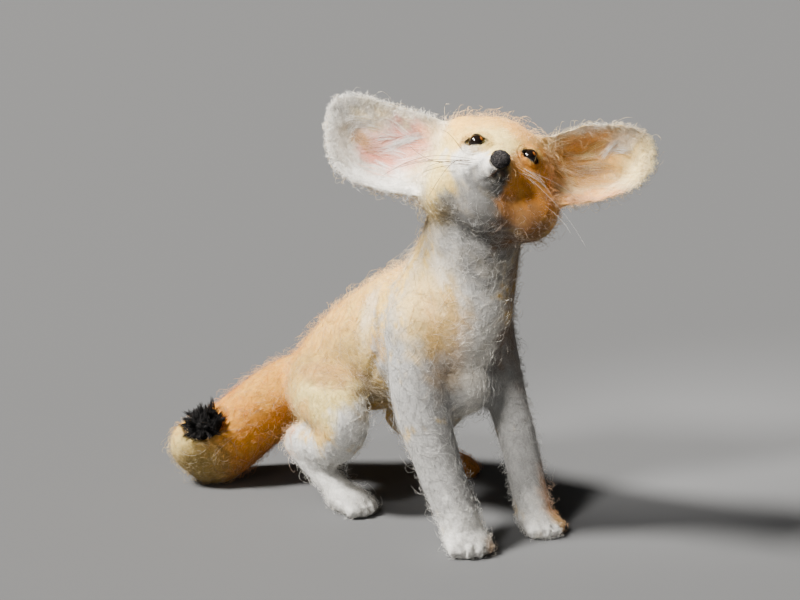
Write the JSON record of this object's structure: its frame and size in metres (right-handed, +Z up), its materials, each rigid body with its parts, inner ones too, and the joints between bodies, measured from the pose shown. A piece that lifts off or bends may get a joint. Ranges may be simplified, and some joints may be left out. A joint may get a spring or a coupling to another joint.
{
  "type": "needle-felted fennec fox figurine",
  "caption": "Needle-felted wool fennec fox in a low crouch, its head turned up to its right, large cupped ears, bead eyes, tail curled to a black tuft.",
  "frame": {"origin": "middle of the bounding box's footprint, on the plane of the soles", "axes": "+X from rump to chest, +Y to the fox's left, +Z up from the soles to the crown"},
  "size_m": [0.0988, 0.0628, 0.0944],
  "materials": {
    "cream_wool": "matt needle-felted wool, cream to peach-tan with stray fibres",
    "white_wool": "matt needle-felted wool, white",
    "tan_wool": "matt needle-felted wool, orange-tan",
    "black_wool": "matt black wool",
    "bead_glass": "polished dark glass bead, opaque"
  },
  "bodies": {
    "root": {"ear_left": "white_wool", "ear_right": "white_wool", "eye_left": "bead_glass", "eye_right": "bead_glass", "foreleg_left": "white_wool", "foreleg_right": "white_wool", "head": "cream_wool", "hindfoot_left": "tan_wool", "hindfoot_right": "white_wool", "hindleg_left": "cream_wool", "hindleg_right": "cream_wool", "neck": "cream_wool", "nose": "black_wool", "tail_end": "tan_wool", "tail_root": "tan_wool", "tail_tuft": "black_wool", "torso": "cream_wool"}
  },
  "joints": []
}
